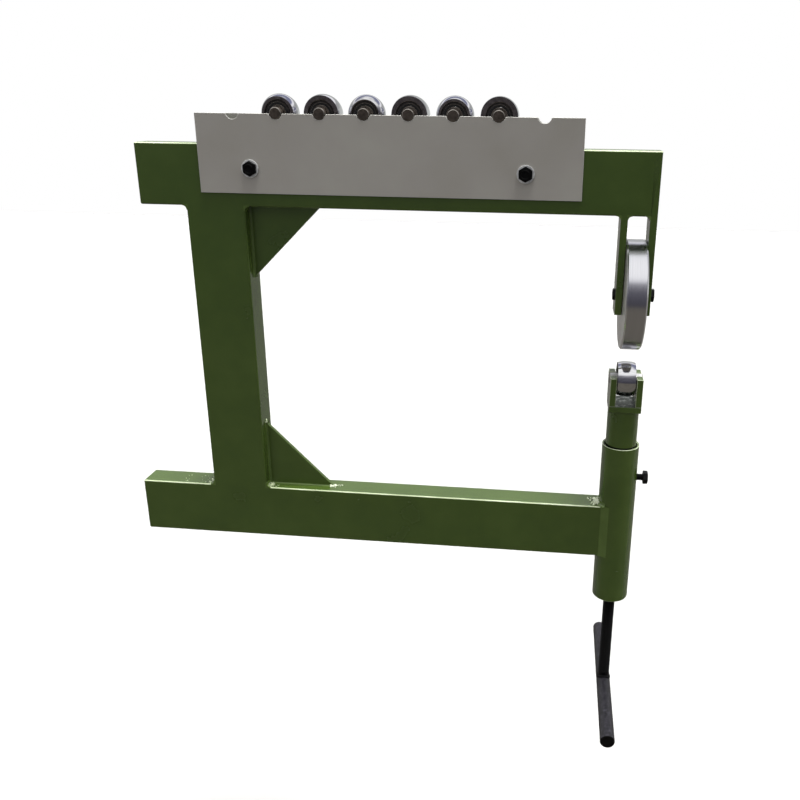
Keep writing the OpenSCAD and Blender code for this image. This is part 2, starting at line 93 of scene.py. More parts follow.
# The studio: a pale floor well below the handle bar, a white backdrop, and a room that gives
# the light. In front of the machine the room is white high up and dark below, and steel shows
# both. One wide panel lights the tops, and two weak ones light the right side and the front.
FLOOR_BELOW = 0.45
FLOOR_COLOUR = "#8f8f8d"
FLOOR_NEAR, FLOOR_FAR, FLOOR_HALF, FLOOR_X = -0.35, 9.0, 9.0, 0.3
BACKDROP_R = 14
PANELS = (
    ("panel_over", (0.12, 0.02, 1.0), 22, 10.8), ("panel_right", (1.0, 0.0, 0.25), 50, 0.8),
    ("panel_front", (-0.45, -1.0, 0.15), 60, 0.85),
)
ROOM_STRENGTH = 1.25


def linear(code):
    """An sRGB hex colour as linear red, green, blue and a full alpha."""
    parts = [int(code[i : i + 2], 16) / 255 for i in (1, 3, 5)]
    return (*(p / 12.92 if p <= 0.04045 else ((p + 0.055) / 1.055) ** 2.4 for p in parts), 1)


def add(tree, kind, inputs=None, **settings):
    """Adds a node with its settings, and fills its inputs with values or other outputs."""
    made = tree.nodes.new(kind)
    for key, value in settings.items():
        setattr(made, key, value)
    for key, value in (inputs or {}).items():
        if isinstance(value, bpy.types.NodeSocket):
            tree.links.new(value, made.inputs[key])
        else:
            made.inputs[key].default_value = value
    return made


def ramp(tree, factor, stops):
    """A colour ramp over a factor, from (place, hex colour) stops."""
    made = add(tree, "ShaderNodeValToRGB", {"Fac": factor})
    elements = made.color_ramp.elements
    for place, _ in stops[2:]:
        elements.new(place)
    for element, (place, code) in zip(elements, stops):
        element.position = place
        element.color = linear(code)
    return made.outputs["Color"]


def rows(stops):
    """Ramp stops from degrees above the horizon: the ramp's place is the height on a ball."""
    return [((math.sin(math.radians(level)) + 1) / 2, code) for level, code in stops]


world = bpy.data.worlds.new("room")
bpy.context.scene.world = world
world.use_nodes = True
sky = world.node_tree
sky.nodes.clear()
way = add(sky, "ShaderNodeTexCoord").outputs["Generated"]
split = add(sky, "ShaderNodeSeparateXYZ", {"Vector": way})
height = add(
    sky, "ShaderNodeMapRange", {"Value": split.outputs["Z"], "From Min": -1.0, "From Max": 1.0}
).outputs["Result"]
behind = add(
    sky, "ShaderNodeMapRange", {"Value": split.outputs["Y"], "From Min": -0.12, "From Max": 0.12}
).outputs["Result"]
front_room = ramp(
    sky,
    height,
    rows([
        (-90, "#635f58"), (-16, "#635f58"), (-11, "#3d3c45"), (18, "#5c5b63"),
        (34, "#8f8e94"), (38, "#e6e6e9"), (47, "#ffffff"), (90, "#ffffff"),
    ]),
)
back_room = ramp(
    sky,
    height,
    rows([
        (-90, "#625e57"), (-4, "#8d8b88"), (1, "#c3c5c3"), (11, "#bcbebc"), (16, "#a6a7a6"),
        (27, "#a3a4a5"), (31, "#f6f6f6"), (37, "#f2f1f8"), (42, "#7a7d97"), (60, "#84879d"),
        (74, "#f6f6f8"),
    ]),
)
room = add(
    sky, "ShaderNodeMix", {0: behind, 6: front_room, 7: back_room}, data_type="RGBA"
).outputs[2]
lit = add(sky, "ShaderNodeBackground", {"Color": room, "Strength": ROOM_STRENGTH})
add(sky, "ShaderNodeOutputWorld", {"Surface": lit.outputs[0]})


def stage_piece(name, bm, material):
    """A piece of the studio from a bmesh in metres."""
    mesh = bpy.data.meshes.new(name)
    bm.to_mesh(mesh)
    bm.free()
    mesh.materials.append(material)
    made = bpy.data.objects.new(name, mesh)
    bpy.context.scene.collection.objects.link(made)
    made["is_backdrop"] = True
    return made


# Pale matt floor paper: the panel lights it to a plain white, with the machine's faint shadow
floor_paper = bpy.data.materials.new("pale_floor_paper")
floor_paper.use_nodes = True
shader = floor_paper.node_tree.nodes["Principled BSDF"]
shader.inputs["Base Color"].default_value = linear(FLOOR_COLOUR)
shader.inputs["Roughness"].default_value = 0.95
shader.inputs["Specular IOR Level"].default_value = 0.0
bm = bmesh.new()
bmesh.ops.create_grid(bm, x_segments=1, y_segments=1, size=1)
bmesh.ops.scale(bm, vec=(FLOOR_HALF, (FLOOR_FAR - FLOOR_NEAR) / 2, 1), verts=bm.verts)
bmesh.ops.translate(
    bm, vec=(FLOOR_X, (FLOOR_FAR + FLOOR_NEAR) / 2, cad_low.z - FLOOR_BELOW), verts=bm.verts
)
floor = stage_piece("floor", bm, floor_paper)
floor.visible_glossy = False

# White backdrop: it glows at a strength of 1, and only the camera sees it
backdrop_white = bpy.data.materials.new("white_backdrop")
backdrop_white.use_nodes = True
tree = backdrop_white.node_tree
tree.nodes.clear()
glow = add(tree, "ShaderNodeEmission", {"Color": linear("#ffffff"), "Strength": 1.0})
add(tree, "ShaderNodeOutputMaterial", {"Surface": glow.outputs[0]})
bm = bmesh.new()
bmesh.ops.create_icosphere(bm, subdivisions=4, radius=BACKDROP_R)
bmesh.ops.reverse_faces(bm, faces=bm.faces)
backdrop = stage_piece("backdrop", bm, backdrop_white)
backdrop.visible_diffuse = False
backdrop.visible_glossy = False
backdrop.visible_transmission = False
backdrop.visible_shadow = False

for name, way, spread_degrees, power in PANELS:
    panel_data = bpy.data.lights.new(name, "SUN")
    panel_data.energy = power
    panel_data.angle = math.radians(spread_degrees)
    panel = bpy.data.objects.new(name, panel_data)
    panel.rotation_euler = (-Vector(way)).to_track_quat("-Z", "Y").to_euler()
    panel.visible_glossy = False
    bpy.context.scene.collection.objects.link(panel)

# The frame's three tubes: hot-rolled rectangular tube, 84 x 40 mm with a 4 mm wall, whose
# corners are rounded by the mill. The column runs into the arms' round corners, because the
# welds there are ground flush, and the lower arm's end is coped round the sleeve.
CORNER_R, BORE_R = 2.5, 0.8
WALL = 4
FLUSH = 0.05
SHARP_DEGREES, BREAK_STEPS = 38, 2
COPE_R = 26.8
COPE_CUTS = 10


def corners(node):
    """A CAD node's lowest and highest corner, in millimetres."""
    low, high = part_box(node)
    return low / MM, high / MM


def block(low, high):
    """A box between two corners."""
    bm = bmesh.new()
    verts = bmesh.ops.create_cube(bm, size=1)["verts"]
    low, high = Vector(low), Vector(high)
    bmesh.ops.scale(bm, vec=high - low, verts=verts)
    bmesh.ops.translate(bm, vec=(low + high) / 2, verts=verts)
    return bm


def edges_along(bm, axis, test=lambda middle: True):
    """The straight edges along axis 0, 1 or 2 whose middles pass a test."""
    found = []
    for edge in bm.edges:
        way = (edge.verts[1].co - edge.verts[0].co).normalized()
        if abs(way[axis]) > 0.999 and test((edge.verts[0].co + edge.verts[1].co) / 2):
            found.append(edge)
    return found


def round_off(bm, edges, radius, segments):
    """Rounds the given edges."""
    bmesh.ops.bevel(
        bm, geom=edges, offset=radius, segments=segments, profile=0.5, affect="EDGES",
        offset_type="OFFSET", material=-1,
    )


def make_piece(name, bm, *materials, bevel=0, edge=-1):
    """A piece from a bmesh in millimetres. Its broken edges are a modifier, and may have one
    of its materials to themselves."""
    bmesh.ops.scale(bm, vec=(MM, MM, MM), verts=bm.verts)
    mesh = bpy.data.meshes.new(name)
    bm.to_mesh(mesh)
    bm.free()
    for material in materials:
        mesh.materials.append(material)
    mesh.shade_smooth()
    mesh.set_sharp_from_angle(angle=math.radians(SHARP_DEGREES))
    piece = bpy.data.objects.new(name, mesh)
    bpy.context.scene.collection.objects.link(piece)
    if bevel:
        broken = piece.modifiers.new("broken_edges", "BEVEL")
        broken.width = bevel * MM
        broken.segments = BREAK_STEPS
        broken.limit_method = "ANGLE"
        broken.angle_limit = math.radians(SHARP_DEGREES)
        broken.use_clamp_overlap = True
        broken.material = edge
    flat = piece.modifiers.new("even_shading", "WEIGHTED_NORMAL")
    flat.keep_sharp = True
    return piece


def join(bm, other):
    """Adds another bmesh's shape to the first."""
    mesh = bpy.data.meshes.new("joined")
    other.to_mesh(mesh)
    other.free()
    bm.from_mesh(mesh)
    bpy.data.meshes.remove(mesh)


def fit(piece, body, node):
    """The piece rides on a body and stands for a CAD node, which it hides."""
    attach(piece, body)
    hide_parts(node)


def start_material(name):
    """A new material's node tree, its place on the object in metres, and its shader."""
    material = bpy.data.materials.new(name)
    material.use_nodes = True
    tree = material.node_tree
    return material, tree, add(tree, "ShaderNodeTexCoord").outputs["Object"], tree.nodes[
        "Principled BSDF"
    ]


def link_surface(tree, shader, colour, roughness, bump, distance):
    """Joins a colour, a roughness and a height to the shader."""
    relief = add(
        tree, "ShaderNodeBump", {"Height": bump, "Distance": distance * MM, "Strength": 1.0}
    )
    tree.links.new(colour, shader.inputs["Base Color"])
    tree.links.new(roughness, shader.inputs["Roughness"])
    tree.links.new(relief.outputs["Normal"], shader.inputs["Normal"])


def noise(tree, place, size, detail):
    """Cloudy noise from 0 to 1 whose clouds are about a size across, in metres."""
    return add(
        tree, "ShaderNodeTexNoise", {"Vector": place, "Scale": 1 / size, "Detail": detail}
    ).outputs[0]


def spread(tree, value, low, high):
    """A 0 to 1 value spread between two others."""
    return add(
        tree, "ShaderNodeMapRange", {"Value": value, "To Min": low, "To Max": high}
    ).outputs["Result"]


SHADE_STOPS = (0.3, 0.5, 0.7)
WET_COAT, WET_COAT_ROUGHNESS = 0.35, 0.06


def sprayed_enamel(name, colours, duller, glossier, peel_mm):
    """Green alkyd enamel, sprayed wet over clouds of thicker and thinner coat, with a gloss
    on top that draws thin bright lines along round corners."""
    material, tree, place, shader = start_material(name)
    clouds = noise(tree, place, 0.05, 4.0)
    peel = noise(tree, place, 0.006, 2.0)
    link_surface(
        tree, shader, ramp(tree, clouds, list(zip(SHADE_STOPS, colours))),
        spread(tree, clouds, duller, glossier), peel, peel_mm,
    )
    shader.inputs["Coat Weight"].default_value = WET_COAT
    shader.inputs["Coat Roughness"].default_value = WET_COAT_ROUGHNESS
    return material


# Enamel on the tubes and plates: olive green, with a shallow orange peel about 6 mm across,
# clouds 50 mm wide that hardly differ in colour, and an even gloss
green_enamel = sprayed_enamel(
    "green_sprayed_enamel", ("#344519", "#37481a", "#3a4b1d"), 0.30, 0.22, 0.05
)
# The same enamel made pale on round corners that face upwards: a painted highlight along those
# edges
highlight_enamel = sprayed_enamel(
    "green_enamel_painted_highlight", ("#8a9574", "#a0aa8a", "#bac2a8"), 0.25, 0.16, 0.05
)


def paint_highlight_corners(bm):
    """Gives the round corners that face upwards the second material, a pale enamel that paints a
    highlight on them.
    """
    for face in bm.faces:
        if face.normal.z > 0.25 and max(abs(face.normal.x), abs(face.normal.y)) > 0.25:
            face.material_index = 1


def tube_skin(low, high, axis, radius):
    """A tube's skin between two corners, along axis 0 or 2, open at both ends, with a painted
    highlight on its upward round corners.
    """
    bm = block(low, high)
    round_off(bm, edges_along(bm, axis), radius, 4)
    bm.normal_update()
    paint_highlight_corners(bm)
    ends = [face for face in bm.faces if abs(face.normal[axis]) > 0.999]
    bmesh.ops.delete(bm, geom=ends, context="FACES_ONLY")
    return bm


def tube(low, high, axis, shape=lambda bm: None):
    """A rounded tube with its wall, each skin shaped before its ends are closed."""
    inset = Vector((WALL, WALL, WALL))
    inset[axis] = 0
    bm = tube_skin(low, high, axis, CORNER_R)
    bore = tube_skin(low + inset, high - inset, axis, BORE_R)
    shape(bm)
    shape(bore)
    join(bm, bore)
    middle = (low[axis] + high[axis]) / 2
    rims = [edge for edge in bm.edges if len(edge.link_faces) == 1]
    for side in (True, False):
        rim = [edge for edge in rims if (edge.verts[0].co[axis] > middle) == side]
        bmesh.ops.bridge_loops(bm, edges=rim)
    bmesh.ops.recalc_face_normals(bm, faces=bm.faces)
    return bm


def cope(bm):
    """Cuts a skin's right end to the round of the sleeve."""
    bmesh.ops.subdivide_edges(
        bm, edges=edges_along(bm, 1), cuts=COPE_CUTS, use_grid_fill=True
    )
    for vert in bm.verts:
        if vert.co.x > sleeve_centre.x - 1:
            vert.co.x = sleeve_centre.x - math.sqrt(COPE_R**2 - vert.co.y**2)


sleeve_low, sleeve_high = corners("sleeve")
sleeve_centre = (sleeve_low + sleeve_high) / 2
arm_low, arm_high = corners("lower_arm")
bm = tube(arm_low, Vector((sleeve_centre.x, arm_high.y, arm_high.z)), 0, cope)
arm_lower = make_piece("arm_lower", bm, green_enamel, highlight_enamel)
fit(arm_lower, "frame", "lower_arm")

column_low, column_high = corners("column")
into = Vector((0, FLUSH, CORNER_R))
column = make_piece("upright", tube(column_low - into, column_high + into, 2), green_enamel)
fit(column, "frame", "column")

top_low, top_high = corners("upper_arm")
arm_upper = make_piece("arm_upper", tube(top_low, top_high, 0), green_enamel, highlight_enamel)
fit(arm_upper, "frame", "upper_arm")

# The plates that close the two stubs: 4 mm strip, cut to the tube's outline, welded on and
# ground round.
PLATE_ROUND = 2.4
for node, name in (("lower_arm_cap", "stub_plate_lower"), ("upper_arm_cap", "stub_plate_upper")):
    low, high = corners(node)
    bm = block(low, high)
    round_off(bm, edges_along(bm, 0), CORNER_R, 4)
    free_end = [edge for edge in bm.edges if all(v.co.x < low.x + 0.01 for v in edge.verts)]
    round_off(bm, free_end, PLATE_ROUND, 4)
    bm.normal_update()
    # Their upward round corners take the pale enamel, a painted highlight.
    paint_highlight_corners(bm)
    plate = make_piece(name, bm, green_enamel, highlight_enamel)
    fit(plate, "frame", node)

# The gussets: 6 mm plate sheared to a right triangle and set in the middle of the tube, with
# its long edge left square and only its burrs taken off.
for node, name, rise in (
    ("lower_gusset", "web_lower", 1), ("upper_gusset", "web_upper", -1)
):
    low, high = corners(node)
    foot, tip = (low.z, high.z) if rise > 0 else (high.z, low.z)
    bm = bmesh.new()
    web = bm.faces.new(
        [bm.verts.new((x, low.y, z)) for x, z in ((low.x, foot), (high.x, foot), (low.x, tip))]
    )
    swept = bmesh.ops.extrude_face_region(bm, geom=[web])["geom"]
    bmesh.ops.translate(
        bm, vec=(0, high.y - low.y, 0),
        verts=[v for v in swept if isinstance(v, bmesh.types.BMVert)],
    )
    bmesh.ops.recalc_face_normals(bm, faces=bm.faces)
    gusset = make_piece(name, bm, green_enamel, bevel=0.7)
    fit(gusset, "frame", node)

# The fork: two cheeks of 40 x 10 mm flat bar. The inner one stands under the arm, and the
# outer one also closes the arm's end, ground to the tube's round corners. A turned boss on
# the outer one takes the axle bolt's head.
FORK_EDGE_R = 1.2
low, high = corners("fork_inner_cheek")
bm = block(low - Vector((0, FLUSH, 0)), high + Vector((0, FLUSH, CORNER_R)))
round_off(bm, edges_along(bm, 2), FORK_EDGE_R, 3)
round_off(bm, edges_along(bm, 0, lambda m: m.z < low.z + 1), FORK_EDGE_R, 3)
cheek_inner = make_piece("fork_side_inner", bm, green_enamel)
fit(cheek_inner, "frame", "fork_inner_cheek")

inner_low, inner_high = corners("fork_inner_cheek")
cheek_t = inner_high.x - inner_low.x
low, high = corners("fork_outer_cheek")
high.x = low.x + cheek_t
wheel_low, wheel_high = corners("upper_wheel")
wheel_centre = (wheel_low + wheel_high) / 2
bm = block(low - Vector((0, FLUSH, 0)), high + Vector((0, FLUSH, 0)))
bmesh.ops.bisect_plane(
    bm, geom=[*bm.verts, *bm.edges, *bm.faces], plane_co=(0, 0, top_low.z), plane_no=(0, 0, 1)
)
round_off(bm, edges_along(bm, 0, lambda m: m.z > top_high.z - 1), CORNER_R, 4)
round_off(
    bm,
    edges_along(bm, 2, lambda m: m.x > high.x - 1 or m.z < top_low.z),
    FORK_EDGE_R, 3,
)
bm.normal_update()
# Its upward round corners take the pale enamel, a painted highlight.
paint_highlight_corners(bm)
cheek_outer = make_piece("fork_side_outer", bm, green_enamel, highlight_enamel)


def turned(profile, steps=96, ring=False):
    """A shape turned about Z from (radius, height) points, closed as a ring or on the axis."""
    bm = bmesh.new()
    points = [bm.verts.new((radius, 0, z)) for radius, z in profile]
    pairs = list(zip(points, points[1:])) + ([(points[-1], points[0])] if ring else [])
    lines = [bm.edges.new(pair) for pair in pairs]
    bmesh.ops.spin(
        bm, geom=points + lines, cent=(0, 0, 0), axis=(0, 0, 1), angle=math.tau,
        steps=steps, use_merge=True,
    )
    bmesh.ops.remove_doubles(bm, verts=bm.verts, dist=0.001)
    bmesh.ops.recalc_face_normals(bm, faces=bm.faces)
    return bm


def lay(bm, centre, axis):
    """Turns a shape made about Z so that its top points along an axis, and moves it."""
    turned_to = Vector((0, 0, 1)).rotation_difference(Vector(axis)).to_matrix().to_4x4()
    bmesh.ops.transform(bm, matrix=Matrix.Translation(centre) @ turned_to, verts=bm.verts)
    return bm


AXLE_BOLT_D = 10
BOSS_D, BOSS_T = 19, 1.2
bm = turned(
    [
        (AXLE_BOLT_D / 2, -1), (AXLE_BOLT_D / 2, BOSS_T), (BOSS_D / 2, BOSS_T),
        (BOSS_D / 2, -1),
    ],
    ring=True,
)
lay(bm, (high.x, 0, wheel_centre.z), (1, 0, 0))
boss = make_piece("fork_boss", bm, green_enamel, bevel=0.5)
fit(cheek_outer, "frame", "fork_outer_cheek")
fit(boss, "frame", "fork_outer_cheek")

# The sleeve: a 54 mm tube with a wall of 4.5 mm, bored for the post. It is welded into the coped
# end of the lower arm. Its mouth is bored wider, and its rims are square with a small break.
low, high = corners("sleeve")
SLEEVE_BORE_R = 22.55
MOUTH_R, MOUTH_DEEP = 24.6, 9
outer_r = (high.x - low.x) / 2
bm = turned(
    [
        (SLEEVE_BORE_R, low.z), (outer_r, low.z), (outer_r, high.z), (MOUTH_R, high.z),
        (MOUTH_R, high.z - MOUTH_DEEP), (SLEEVE_BORE_R, high.z - MOUTH_DEEP),
    ],
    ring=True,
)
lay(bm, (sleeve_centre.x, 0, 0), (0, 0, 1))
# The small breaks on its rims take the pale enamel, a painted highlight along the rims.
sleeve = make_piece("guide_sleeve", bm, green_enamel, highlight_enamel, bevel=0.5, edge=1)
fit(sleeve, "frame", "sleeve")

# The weld beads: fillets run by hand with a stick electrode, so each swells and narrows every
# few millimetres, and lumps and spatter sit round the starts and stops. All is painted over.
FILLET, GUSSET_FILLET, FORK_FILLET, SLEEVE_FILLET = 6, 3.2, 5.5, 5
BEAD_PITCH = 2.4
BACK = 0.3
HOLLOW = [(1, 0), (0.62, 0.08), (0.29, 0.29), (0.08, 0.62), (0, 1)]
FULL = [(1, 0), (0.92, 0.42), (0.7, 0.7), (0.42, 0.92), (0, 1)]
# Enamel over weld: the same paint, thicker, wetter and glossier on the ripples
weld_enamel = sprayed_enamel(
    "green_enamel_on_weld", ("#3f4f21", "#465828", "#4f6230"), 0.16, 0.10, 0.15
)
# Enamel over lumps and spatter: pale all over, a painted highlight so that they read as shiny
# dots
spatter_highlight_enamel = sprayed_enamel(
    "green_enamel_painted_spatter_highlight", ("#6f7b55", "#a0a98c", "#d2d6c4"), 0.14, 0.08, 0.1
)


def bead(bm, places, leg, rng, outline=HOLLOW, swell=0.10):
    """A fillet of weld through places, matrices whose X and Y run out along the two faces."""
    points = [(-BACK, -BACK), (1, -BACK), *outline, (-BACK, 1)]
    points = [Vector((x, y, 0)) for x, y in points]
    face = bm.faces.new([bm.verts.new(places[0] @ (p * leg)) for p in points])
    for i, spot in enumerate(places[1:]):
        size = leg * (1 + swell * (-1) ** i + rng.uniform(-0.6, 0.6) * swell)
        grown = bmesh.ops.extrude_face_region(bm, geom=[face])["geom"]
        face = next(g for g in grown if isinstance(g, bmesh.types.BMFace))
        for vert, point in zip(face.verts, points):
            vert.co = spot @ (point * size)


def straight_run(start, end, face_a, face_b):
    """Places along a straight corner between two faces that open along face_a and face_b."""
    start, end = Vector(start), Vector(end)
    count = max(2, round((end - start).length / (BEAD_PITCH / 2)))
    turn = Matrix((Vector(face_a), Vector(face_b), (end - start).normalized())).transposed()
    return [
        Matrix.Translation(start.lerp(end, i / count)) @ turn.to_4x4()
        for i in range(count + 1)
    ]


def spatter(bm, centre, reach, count, rng, size):
    """Small round lumps of weld, scattered round a point, in the second material, which paints
    their highlight.
    """
    for _ in range(count):
        ball = bmesh.ops.create_icosphere(bm, subdivisions=2, radius=rng.uniform(*size))
        shift = Vector([rng.uniform(-r, r) for r in reach])
        bmesh.ops.translate(bm, vec=Vector(centre) + shift, verts=ball["verts"])
        for vert in ball["verts"]:
            for face in vert.link_faces:
                face.material_index = 1


rng = random.Random(7)
bm = bmesh.new()
half_d = arm_high.y
X, Y, Z = Vector((1, 0, 0)), Vector((0, 1, 0)), Vector((0, 0, 1))
web_low, web_high = corners("lower_gusset")
for z, rise in ((column_low.z, Z), (column_high.z, -Z)):
    x = column_low.x
    bead(bm, straight_run((x, -half_d, z), (x, half_d, z), -X, rise), FILLET, rng)
    x = column_high.x
    for start, end in ((-half_d, web_low.y), (web_high.y, half_d)):
        bead(bm, straight_run((x, start, z), (x, end, z), X, rise), FILLET, rng)
for node, rise in (("lower_gusset", Z), ("upper_gusset", -Z)):
    low, high = corners(node)
    foot, tip = (low.z, high.z) if rise.z > 0 else (high.z, low.z)
    for side, face_y in ((-Y, low.y), (Y, high.y)):
        run = straight_run((low.x, face_y, foot), (high.x - 3, face_y, foot), side, rise)
        bead(bm, run, GUSSET_FILLET * 0.7, rng, swell=0.04)
        run = straight_run((low.x, face_y, foot), (low.x, face_y, tip), side, X)
        bead(bm, run, GUSSET_FILLET, rng, swell=0.05)
for x, way in ((inner_low.x, -X), (inner_high.x, X), (top_high.x, -X)):
    run = straight_run((x, -half_d, top_low.z), (x, half_d, top_low.z), way, -Z)
    bead(bm, run, FORK_FILLET, rng)
half_angle = math.asin(half_d / outer_r)
arc = []
ARC_STEPS = 40
for i in range(ARC_STEPS + 1):
    angle = math.pi - half_angle + 2 * half_angle * i / ARC_STEPS
    out = Vector((math.cos(angle), math.sin(angle), 0))
    turn = Matrix((out, Z, out.cross(Z))).transposed()
    spot = Vector((sleeve_centre.x, 0, arm_high.z)) + out * outer_r
    arc.append(Matrix.Translation(spot) @ turn.to_4x4())
bead(bm, arc, SLEEVE_FILLET, rng, swell=0.16)
for side in (-1, 1):
    x = sleeve_centre.x - outer_r * math.cos(half_angle)
    along = Vector((math.sin(half_angle), side * math.cos(half_angle), 0))
    run = straight_run((x, side * half_d, 0), (x, side * half_d, arm_high.z), -X, along)
    bead(bm, run, FILLET, rng, swell=0.01)
TOP = arm_high.z
LUMPS = (
    ((column_high.x + 5, -12, TOP + 0.8), (4.5, 6, 1.2), 26, (0.8, 1.9)),
    ((column_high.x + 12, -14, TOP + 0.3), (7, 5, 0.4), 14, (0.5, 1.1)),
    ((web_high.x, -3, TOP + 0.6), (5, 5.5, 0.8), 24, (0.7, 1.6)),
    ((web_high.x + 9, -2, TOP + 0.2), (7, 5, 0.3), 10, (0.5, 1.0)),
    ((column_high.x + 1, -2, web_high.z), (1, 4.5, 4), 16, (0.7, 1.5)),
    ((sleeve_centre.x - 30, -6, TOP + 1.5), (4, 11, 1.8), 44, (0.9, 2.0)),
    ((sleeve_centre.x - 38, -4, TOP + 0.2), (6, 12, 0.3), 26, (0.5, 1.1)),
    ((column_low.x - 6, -8, TOP + 0.8), (4, 9, 1.0), 14, (0.8, 1.8)),
    ((column_low.x - 34, -4, TOP), (26, 12, 0.2), 16, (0.4, 0.8)),
)
for centre, reach, count, size in LUMPS:
    spatter(bm, centre, reach, count, rng, size)
bmesh.ops.recalc_face_normals(bm, faces=bm.faces)
welds = make_piece("welds", bm, weld_enamel, spatter_highlight_enamel)
fit(welds, "frame", "weld_beads")

# The nut in the sleeve's foot: free-cutting steel, turned to the sleeve's bore, threaded for
# the lift screw and blacked.
BLACKED_DARK, BLACKED = "#040404", "#0a0a0a"
# Chemically blacked steel: a thin oiled oxide, almost black, with a low sheen that is
# mottled over a few millimetres
blacked_steel, tree, place, shader = start_material("blacked_steel")
mottle = noise(tree, place, 0.004, 5.0)
link_surface(
    tree, shader, ramp(tree, mottle, [(0.35, BLACKED_DARK), (0.7, BLACKED)]),
    spread(tree, mottle, 0.30, 0.48), mottle, 0.05,
)
shader.inputs["Specular IOR Level"].default_value = 0.15
SCREW_D, SCREW_PLAY = 18, 0.1
low, high = corners("lift_nut")
bm = turned(
    [
        (SCREW_D / 2 + SCREW_PLAY, low.z), ((high.x - low.x) / 2, low.z),
        ((high.x - low.x) / 2, high.z), (SCREW_D / 2 + SCREW_PLAY, high.z),
    ],
    ring=True,
)
lay(bm, (sleeve_centre.x, 0, 0), (0, 0, 1))
lift_nut = make_piece("sleeve_nut", bm, blacked_steel, bevel=0.8)
fit(lift_nut, "frame", "lift_nut")

# The rack: two plates of 3 mm sheet, punched with eight notches and two holes and sprayed
# grey. Their edges take a paler grey, a painted highlight, and steel shows where axles rub.
def satin_grey(name, colours):
    """Grey satin paint on sheet, even over 90 mm, with a fine grain."""
    material, tree, place, shader = start_material(name)
    film = noise(tree, place, 0.09, 3.0)
    grain = noise(tree, place, 0.002, 2.0)
    link_surface(
        tree, shader, ramp(tree, film, list(zip(SHADE_STOPS, colours))),
        spread(tree, film, 0.45, 0.58), grain, 0.03,
    )
    return material


# Grey satin paint on the faces: warm mid grey, with a soft shine and a grain of about 2 mm
grey_satin = satin_grey("grey_satin_paint", ("#8b8881", "#8f8c86", "#93918a"))
# The same paint made paler on the edges' breaks: a painted highlight along the edge lines
grey_edge_highlight = satin_grey("grey_paint_painted_edge_highlight", ("#aeada6", "#b9b8b2", "#c6c5c0"))
STEEL_WORN, STEEL_RUBBED = "#8f8c86", "#c2c0bb"
# Mild steel rubbed bare: short scratches from the axles, bright and a little rough
rubbed_steel, tree, place, shader = start_material("rubbed_mild_steel")
stretched = add(
    tree, "ShaderNodeMapping", {"Vector": place, "Scale": (1.0, 0.15, 1.0)}
).outputs[0]
scratches = noise(tree, stretched, 0.0015, 6.0)
link_surface(
    tree, shader, ramp(tree, scratches, [(0.35, STEEL_WORN), (0.65, STEEL_RUBBED)]),
    spread(tree, scratches, 0.25, 0.5), scratches, 0.06,
)
shader.inputs["Metallic"].default_value = 1.0


def cad_copy(node):
    """A CAD node's shape in millimetres, with its loose triangles merged to flat faces."""
    bm = bmesh.new()
    bm.from_mesh(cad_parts[node].data)
    bmesh.ops.scale(bm, vec=(1 / MM,) * 3, verts=bm.verts)
    bmesh.ops.remove_doubles(bm, verts=bm.verts, dist=0.005)
    bmesh.ops.dissolve_limit(
        bm, angle_limit=math.radians(0.5), verts=bm.verts, edges=bm.edges
    )
    for face in bm.faces:
        face.material_index = 0
    return bm


NOTCH_REACH = 9
for node, name in (
    ("rack_front_plate", "rack_sheet_front"), ("rack_rear_plate", "rack_sheet_rear")
):
    low, high = corners(node)
    bm = cad_copy(node)
    for face in bm.faces:
        middle = face.calc_center_median()
        if (
            abs(face.normal.y) < 0.1 and middle.z > high.z - NOTCH_REACH
            and middle.z < high.z - 0.1 and low.x + 1 < middle.x < high.x - 1
        ):
            face.material_index = 1
    rack = make_piece(name, bm, grey_satin, rubbed_steel, grey_edge_highlight, bevel=0.6, edge=2)
    fit(rack, "frame", node)


# The rack's two M12 studs, each with a low nut and a washer at both ends: blacked steel
# studs and nuts, and bright zinc washers that show as a rim.
THREAD_SHARE, THREAD_STEPS = 0.42, 24


def threaded(d, pitch, starts, low_z, high_z):
    """A threaded rod about Z between two heights: a turn's profile spun up a helix."""
    lead = pitch * starts
    depth = THREAD_SHARE * pitch
    crest, root = d / 2, d / 2 - depth
    bm = bmesh.new()
    profile = []
    for n in range(starts):
        for share, radius in ((0.0, root), (0.14, root), (0.45, crest), (0.69, crest)):
            profile.append((radius, low_z - lead + (n + share) * pitch))
    profile.append((root, low_z))
    points = [bm.verts.new((radius, 0, z)) for radius, z in profile]
    lines = [bm.edges.new(pair) for pair in zip(points, points[1:])]
    turns = math.ceil((high_z - low_z) / lead) + 2
    bmesh.ops.spin(
        bm, geom=points + lines, cent=(0, 0, 0), axis=(0, 0, 1), angle=math.tau * turns,
        dvec=(0, 0, lead / THREAD_STEPS), steps=THREAD_STEPS * turns, use_merge=False,
    )
    bmesh.ops.remove_doubles(bm, verts=bm.verts, dist=0.01)
    for z, way in ((low_z, -1), (high_z, 1)):
        cut = bmesh.ops.bisect_plane(
            bm, geom=[*bm.verts, *bm.edges, *bm.faces], plane_co=(0, 0, z),
            plane_no=(0, 0, way), clear_outer=True,
        )["geom_cut"]
        rim = [e for e in cut if isinstance(e, bmesh.types.BMEdge)]
        bmesh.ops.edgeloop_fill(bm, edges=rim)
    bmesh.ops.recalc_face_normals(bm, faces=bm.faces)
    return bm


